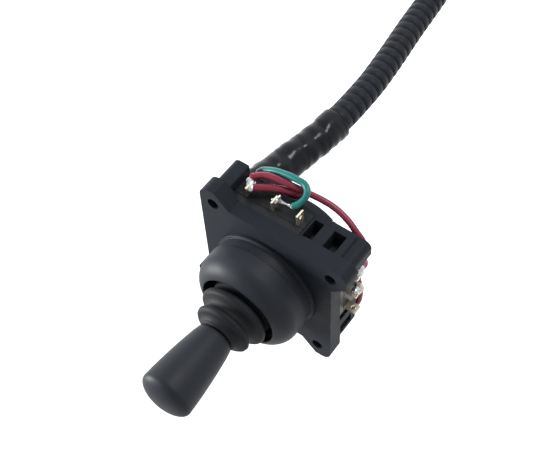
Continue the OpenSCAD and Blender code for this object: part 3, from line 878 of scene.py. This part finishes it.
@dataclass
class Microswitches:
    """Four snap switches with their plungers, terminals and soldered joints."""

    case_edge_mm: float = 0.2
    plunger_edge_mm: float = 0.1
    terminal_edge_mm: float = 0.06
    drop_mm: float = 2.6
    lump_mm: float = 1.8
    lumpiness: float = 0.25
    strand_mm: float = 0.22
    strand_gap_mm: float = 0.32
    hook_mm: float = 0.3
    common_mm: float = -9.7
    open_mm: float = -2.2

    def build(self) -> list[bpy.types.Object]:
        """Builds every switch."""
        made = []
        for side in Side:
            number = side.value + 1
            case = softened(f"switch_case_{number}", self.case_edge_mm, SWITCH_PLASTIC)
            plunger = softened(f"switch_plunger_{number}", self.plunger_edge_mm, PLUNGER_PLASTIC)
            # The terminals' dark colour is partly painted shade.
            tabs = softened(f"switch_terminals_{number}", self.terminal_edge_mm, TINNED_BRASS_PAINTED_SHADE)
            ride_all([case, tabs], Body.HOUSING)
            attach(plunger, f"plunger_{number}")
            made += [case, plunger, tabs, self.solder(side, number)]
        return made

    def solder(self, side: Side, number: int) -> bpy.types.Object:
        """Makes the frozen drops of solder on a switch's terminals and the bared strands in them.

        Args:
            side: The switch's position.
            number: The switch's number.

        Returns:
            The piece, which replaces the CAD drops.
        """
        bm = bmesh.new()
        turn = Matrix.Rotation(-math.pi / 2 * side.value, 4, "Z")
        self.add_drops(bm, turn, number)
        joint = Vector((self.open_mm, 21.3, -8.1))
        wire_end = Vector((2.4, 21.5, -8.4) if side is Side.FRONT else (1.2, 20.4, -8.5))
        for shift in (-self.strand_gap_mm, 0.0, self.strand_gap_mm):
            fan = Vector((0, shift, -shift))
            rod(bm, turn @ ((joint - fan) * MM), turn @ ((wire_end + fan * 0.6) * MM),
                self.strand_mm * MM)
        for lean in (-1, 1):
            reach = Vector((0.5 * lean, 0.9, -1.1 * lean))
            rod(bm, turn @ ((joint - reach) * MM), turn @ ((joint + reach) * MM), self.hook_mm * MM)
        obj = from_bmesh(f"solder_joints_{number}", bm)
        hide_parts(f"solder_{number}")
        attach(obj, Body.HOUSING.value)
        return finish_piece(obj, SOLDER)

    def add_drops(self, bm: bmesh.types.BMesh, turn: Matrix, number: int) -> None:
        """Adds the drops, three that run together on the common terminal and one on the open one.

        Args:
            bm: The bmesh.
            turn: The turn from the first switch to this one.
            number: The switch's number, which gives its lumps their own form.
        """
        drops = (
            (Vector((self.common_mm - 1.0, 21.2, -9.1)), (0.75, 0.7, 0.8)),
            (Vector((self.common_mm - 0.2, 21.3, -8.4)), (0.9, 0.8, 0.95)),
            (Vector((self.common_mm + 0.6, 21.2, -7.6)), (0.8, 0.75, 0.85)),
            (Vector((self.open_mm, 20.9, -7.9)), (0.7, 0.75, 0.8)),
        )
        for k, (middle, shape) in enumerate(drops):
            place = turn @ Matrix.Translation(middle * MM)
            new = bmesh.ops.create_icosphere(bm, subdivisions=5, radius=self.drop_mm / 2 * MM,
                                             matrix=place @ Matrix.Diagonal((*shape, 1)))["verts"]
            for vert in new:
                out = vert.co - place.translation
                lump = noise.noise(vert.co * per_mm(self.lump_mm) + Vector((number, k, 0)))
                vert.co = place.translation + out * (1 + self.lumpiness * lump)


@dataclass(frozen=True)
class WireRun:
    """One hook-up wire, along the route of its CAD tube.

    A wire with a lane ends in the taped bundle. The others end at a terminal.
    """

    node: str
    vinyl: SoftVinyl
    slot: str
    route_mm: tuple[Point, ...]
    lane: int | None = None
    wire_mm: float = 1.7


RED_LINK_23 = (
    (20.7, 9, -10.4), (20.4, 8, -12.4), (18.8, 6.2, -14.2), (17.2, 2.4, -15), (17, -4, -15.1),
    (18.2, -10, -14.7), (17.2, -15.8, -14), (14.2, -19, -13.8), (11.6, -20.6, -12.6),
    (10.6, -20.9, -10.4))

WIRE_RUNS = (
    WireRun("red_feed_wire", RED_VINYL, "red_insulation", (
        (-8.6, 21.3, -8.0), (-5.2, 21.5, -10), (-2.4, 21.3, -11.4), (0, 20.8, -12.6),
        (1.2, 19.8, -13.7), (0.4, 18, -14.4), (-3, 16, -14.6), (-8, 14.2, -14.6),
        (-11.6, 11.8, -14.6)), lane=1, wire_mm=2.0),
    WireRun("red_link_wire_12", RED_VINYL, "red_insulation", (
        (-11.1, 21.6, -10.0), (-8.4, 22.5, -11.6), (-6.2, 23, -12), (-3, 23.2, -12.2),
        (0.4, 22.8, -12.8), (3, 21.7, -13.7), (6, 20.4, -14.7), (9.4, 19.3, -15.2),
        (13.4, 18, -14.8), (16.8, 16.4, -13.9), (18.9, 14.6, -13.6), (19.9, 12.8, -13.4),
        (20.4, 11.2, -11.6), (20.6, 10.6, -10.2))),
    WireRun("red_link_wire_23", RED_VINYL, "red_insulation", RED_LINK_23),
    # The next link is the same, a quarter turn on.
    WireRun("red_link_wire_34", RED_VINYL, "red_insulation",
            tuple((y, -x, z) for x, y, z in RED_LINK_23)),
    WireRun("green_wire", GREEN_VINYL, "green_insulation", (
        (2.3, 21.6, -8.4), (3.6, 22.6, -9.6), (4.2, 24.2, -11.6), (2.8, 24.8, -13.2),
        (-0.4, 24.6, -13.7), (-4.4, 23.6, -14), (-8.2, 22, -14), (-11.4, 19.4, -14),
        (-12.8, 15.2, -14.9), (-15.4, 11.8, -15)), lane=2),
    WireRun("white_wire", WHITE_VINYL, "white_insulation", (
        (20.2, -1.2, -8.8), (20.1, -2.4, -10.6), (19.8, -3.5, -12.2), (18.5, -4.8, -13.4),
        (15.4, -6.2, -13.3), (11.4, -8.6, -14.6), (6, -12, -16.4), (-1, -14.4, -16.6),
        (-8, -13, -16.4), (-12.8, -8, -15.6), (-13.2, -1, -15)), lane=5),
    WireRun("blue_wire", BLUE_VINYL, "blue_insulation", (
        (-1.2, -20.4, -8.4), (-3, -20.4, -11), (-4.8, -20.2, -14), (-6.4, -18.8, -16.8),
        (-11, -15, -16.6), (-15.4, -9, -16.2), (-17, -3, -15)), lane=4),
    WireRun("yellow_wire", YELLOW_VINYL, "yellow_insulation", (
        (-20.4, 1.2, -8.4), (-21.2, 4, -9.8), (-20.8, 6, -12.8)), lane=3),
)


@dataclass
class HookUpWires:
    """Hook-up wires from the switches, and how they gather in the taped bundle."""

    bundle: Point = (-16.0, 6.0, -17.4)
    bundle_radius_mm: float = 2.5
    lane_deg: float = 72.0
    rises_mm: Point = (2.8, 1.4, -1.5)
    wire_sides: int = 16
    steps: int = 8

    def into_bundle(self, lane: int) -> list[Point]:
        """Last stretch of a wire, straight down into the tape.

        Args:
            lane: The wire's place round the bundle.

        Returns:
            Its points, in millimetres.
        """
        angle = math.radians(self.lane_deg * lane)
        x = self.bundle[0] + self.bundle_radius_mm * math.cos(angle)
        y = self.bundle[1] + self.bundle_radius_mm * math.sin(angle)
        return [(x, y, self.bundle[2] + rise) for rise in self.rises_mm]

    def build(self) -> list[bpy.types.Object]:
        """Builds every wire."""
        made = []
        for run in WIRE_RUNS:
            end = [] if run.lane is None else self.into_bundle(run.lane)
            wire = tube(run.node + "_insulation", millimetres([*run.route_mm, *end]),
                        run.wire_mm / 2 * MM, self.wire_sides, self.steps)
            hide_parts(run.node)
            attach(wire, Body.HOUSING.value)
            made.append(finish_piece(wire, run.vinyl))
        return made


@dataclass
class Tape:
    """The harness's taped end: tape wound on in laps, with puckers."""

    outer_mm: float = 9.2
    sides: int = 48
    step_mm: float = 0.35
    lap_mm: float = 7.5
    lap_step_mm: float = 0.16
    lap_rise: float = 0.05
    sunk_mm: float = 0.1
    pucker_mm: float = 0.42
    puckers_per_m: Point = (150, 150, 420)
    route: tuple[Point, ...] = (
        (-16, 6, -17.4), (-16, 6, -20.4), (-15, 5.7, -25), (-13.85, 5.6, -31),
        (-12.65, 5.65, -37), (-11.7, 5.9, -43), (-11.4, 6, -47))

    def build(self) -> bpy.types.Object:
        """Makes the wrap, with the edges of its laps and its puckers."""
        line = smooth_line(millimetres(self.route), self.step_mm * MM)
        radius = self.outer_mm / 2 * MM
        wrap = swelling_tube("harness_tape_wrap", line, [radius] * len(line), self.sides)
        for vert in wrap.data.vertices:
            near = min(range(len(line)), key=lambda i: (line[i] - vert.co).length_squared)
            out = vert.co - line[near]
            if out.length < radius / 2:
                continue
            angle = math.atan2(out.y, out.x) / (2 * math.pi)
            grow_mm = self.lap(near * self.step_mm, angle) - self.sunk_mm + self.pucker(vert.co)
            vert.co = line[near] + out.normalized() * (out.length + grow_mm * MM)
        return wrap

    def lap(self, along_mm: float, angle: float) -> float:
        """Height of a lap: it steps up at the tape's edge and then falls away slowly.

        Args:
            along_mm: The place along the tape's route.
            angle: The place round it, in turns.

        Returns:
            The height, in millimetres.
        """
        share = (along_mm / self.lap_mm - angle) % 1.0
        return self.lap_step_mm * (1 - share if share > self.lap_rise else share / self.lap_rise)

    def pucker(self, place: Vector) -> float:
        """Height of the puckers at a place, in millimetres."""
        return self.pucker_mm * noise.noise(place * Vector(self.puckers_per_m))


@dataclass
class Harness:
    """The taped end, the corrugated conduit with its stored coil, the tie and the connector."""

    conduit_mm: float = 8.0
    conduit_sides: int = 20
    rib_mm: float = 2.9
    rib_steps: int = 40
    groove_mm: float = 0.36
    coil_mm: float = 86.0
    turns: int = 2
    steps_per_turn: int = 48
    lane_mm: float = 8.2
    tie_edge_mm: float = 0.2
    plug_edge_mm: float = 0.4
    lock_edge_mm: float = 0.2
    # Places along a rib, and the share of the groove's depth there.
    rib_profile: tuple[tuple[float, float], ...] = (
        (0.0, 1.0), (0.07, 0.9), (0.13, 0.4), (0.19, 0.08), (0.5, 0.0), (0.81, 0.08), (0.87, 0.4),
        (0.93, 0.9))
    run: tuple[Point, ...] = (
        (-11.4, 6, -47), (-11.1, 6.1, -51), (-11, 6.1, -57), (-11.2, 6, -65), (-12.2, 6, -76),
        (-13.7, 6, -89), (-15, 6, -103), (-16.8, 6, -119), (-18.4, 6, -137), (-19.4, 6, -156),
        (-19.8, 6, -170), (-20, 6, -182))
    # The tail's points, from the end of the coil to the connector.
    tail: tuple[Point, ...] = (
        (0, 0.8, -9), (0, 2.4, -18), (0, 4.2, -27), (0, 5, -36), (0, 5, -42))

    def cord_line(self) -> list[Vector]:
        """Works out the whole middle line of the conduit: its run, its coil and its tail."""
        line = millimetres(self.run)
        start, radius = line[-1], self.coil_mm / 2 * MM
        for k in range(1, self.steps_per_turn * self.turns + 1):
            angle = 2 * math.pi * k / self.steps_per_turn
            line.append(start + Vector((radius * (1 - math.cos(angle)),
                                        self.lane_mm * MM * angle / (2 * math.pi),
                                        -radius * math.sin(angle))))
        out = line[-1]
        line += [out + Vector(p) * MM for p in self.tail]
        return smooth_line(line, 0.5 * MM)

    def conduit(self, line: list[Vector]) -> bpy.types.Object:
        """Makes the corrugated tube.

        Args:
            line: The middle line that it follows.

        Returns:
            The piece.
        """
        length = line_length(line)
        ribs = round(length / (self.rib_mm * MM))
        fine = even_line(line, length / (ribs * self.rib_steps))
        points, radii = [], []
        for rib in range(ribs):
            for share, depth in self.rib_profile:
                at = rib * self.rib_steps + round(share * self.rib_steps)
                points.append(fine[min(at, len(fine) - 1)])
                radii.append((self.conduit_mm / 2 - self.groove_mm * depth) * MM)
        points.append(fine[-1])
        radii.append(radii[0])
        return swelling_tube("harness_conduit", points, radii, self.conduit_sides)

    def build(self) -> list[bpy.types.Object]:
        """Builds the harness."""
        line = self.cord_line()
        conduit = self.conduit(line)
        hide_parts("conduit", "conduit_coil", "conduit_tail")
        finish_piece(conduit, CONDUIT_NYLON)
        tape = Tape().build()
        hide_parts("harness_tape")
        finish_piece(tape, TAPE_VINYL)
        tie = softened("coil_tie", self.tie_edge_mm, TAPE_VINYL)
        plug = softened("connector", self.plug_edge_mm, CONNECTOR_NYLON)
        lock = softened("connector_lock", self.lock_edge_mm, CONNECTOR_NYLON)
        made = [conduit, tape, tie, plug, lock]
        ride_all(made, Body.HOUSING)
        [tuple(p) for p in even_line(line, 3 * MM)]
        return made


# ---- studio ----


@dataclass(frozen=True)
class Lamp:
    """A square soft lamp. Its place and side are in metres."""

    name: str
    place: Point
    side: float
    watts: float


@dataclass
class Studio:
    """Camera, soft lights, pale floor and the white world."""

    target_mm: Point = (-3.6, 6.5, -8.9)
    distance_mm: float = 260.7
    azimuth_deg: float = 66.0
    elevation_deg: float = 26.9
    roll_deg: float = -138.9
    lens_mm: float = 68.7
    sensor_mm: float = 36.0
    near_and_far: tuple[float, float] = (0.005, 20.0)
    lamps: tuple[Lamp, ...] = (
        Lamp("key", (-0.50, 0.0, 0.27), 0.2, 5.2),
        Lamp("fill", (0.11, 0.50, -0.14), 0.1, 1.0),
    )
    world_light: float = 0.25
    floor_half: float = 3.0
    floor_gap_mm: float = 1.0

    def camera_matrix(self) -> Matrix:
        """Works out where the camera stands and how it is turned."""
        azimuth, elevation, roll = (math.radians(a) for a in
                                    (self.azimuth_deg, self.elevation_deg, self.roll_deg))
        back = Vector((math.cos(azimuth) * math.cos(elevation),
                       math.sin(azimuth) * math.cos(elevation), math.sin(elevation)))
        level_right = (-back).cross(Vector((0, 0, 1))).normalized()
        level_up = level_right.cross(-back)
        right = math.cos(roll) * level_right + math.sin(roll) * level_up
        up = right.cross(-back)
        place = Vector(self.target_mm) * MM + back * self.distance_mm * MM
        turn = Matrix((right, up, back)).transposed().to_4x4()
        return Matrix.Translation(place) @ turn

    def build(self) -> None:
        """Sets the scene up."""
        scene = bpy.context.scene
        lens = bpy.data.cameras.new("camera")
        lens.lens = self.lens_mm
        lens.sensor_width = self.sensor_mm
        lens.clip_start, lens.clip_end = self.near_and_far
        camera = bpy.data.objects.new("camera", lens)
        scene.collection.objects.link(camera)
        camera.matrix_world = self.camera_matrix()
        scene.camera = camera
        scene.view_settings.view_transform = "Standard"
        self.world(scene)
        for lamp in self.lamps:
            self.hang(lamp)
        self.floor()

    def world(self, scene: bpy.types.Scene) -> None:
        """Makes the world soft grey light, and white where it is seen or mirrored.

        Args:
            scene: The scene that it lights.
        """
        scene.world = bpy.data.worlds.new("studio_air")
        tree = emptied(scene.world)
        white = linear("#ffffff")
        light = add(tree, "ShaderNodeBackground", {"Color": white, "Strength": self.world_light})
        bright = add(tree, "ShaderNodeBackground", {"Color": white, "Strength": 1.0})
        mixed = add(tree, "ShaderNodeMixShader", {
            0: self.seen(tree), 1: light.outputs[0], 2: bright.outputs[0]})
        add(tree, "ShaderNodeOutputWorld", {"Surface": mixed.outputs[0]})

    def seen(self, tree: bpy.types.NodeTree) -> bpy.types.NodeSocket:
        """Adds a switch that is on for rays from the camera, from mirrors and through clear pieces.

        Args:
            tree: The node tree.

        Returns:
            The switch's output.
        """
        ray = add(tree, "ShaderNodeLightPath", {})
        on = ray.outputs["Is Camera Ray"]
        for kind in ("Is Glossy Ray", "Is Transmission Ray"):
            on = add(tree, "ShaderNodeMath", {0: on, 1: ray.outputs[kind]},
                     operation="MAXIMUM").outputs[0]
        return on

    def hang(self, lamp: Lamp) -> None:
        """Hangs a lamp so that it faces the joystick.

        Args:
            lamp: The lamp.
        """
        light = bpy.data.lights.new(lamp.name, "AREA")
        light.size = lamp.side
        light.energy = lamp.watts
        obj = bpy.data.objects.new(lamp.name, light)
        bpy.context.scene.collection.objects.link(obj)
        obj.location = lamp.place
        aim = Vector(self.target_mm) * MM - Vector(lamp.place)
        obj.rotation_euler = aim.to_track_quat("-Z", "Y").to_euler()

    def floor(self) -> None:
        """Lays a wide pale floor under the lowest piece."""
        height = CAD_BOUNDS[0][2] - self.floor_gap_mm * MM
        bm = bmesh.new()
        bmesh.ops.create_grid(bm, x_segments=1, y_segments=1, size=self.floor_half)
        bmesh.ops.translate(bm, verts=bm.verts, vec=(0, 0, height))
        floor = from_bmesh("floor", bm, smooth=False)
        mat = bpy.data.materials.new("pale_floor")
        tree = emptied(mat)
        # Matt grey paint that lights the underside, and glows white only where it is seen.
        paint = add(tree, "ShaderNodeBsdfDiffuse", {"Color": linear("#e9e9ea")})
        glow = add(tree, "ShaderNodeEmission", {"Color": linear("#ffffff"), "Strength": 1.0})
        both = add(tree, "ShaderNodeAddShader", {0: paint.outputs[0], 1: glow.outputs[0]})
        mixed = add(tree, "ShaderNodeMixShader", {
            0: self.seen(tree), 1: paint.outputs[0], 2: both.outputs[0]})
        add(tree, "ShaderNodeOutputMaterial", {"Surface": mixed.outputs[0]})
        floor.data.materials.append(mat)


def main() -> None:
    """Builds the studio and every sub-assembly."""
    logging.basicConfig(level=logging.INFO, format="%(name)s: %(message)s")
    Studio().build()
    for part in (Harness(), SwitchFrame(), BezelAndBoot(), Gimbal(), Lever(), ReturnSpring(),
                 Microswitches(), HookUpWires()):
        pieces = part.build()
        LOG.info("%s: %d pieces", type(part).__name__, len(pieces))


if __name__ == "__main__":
    main()
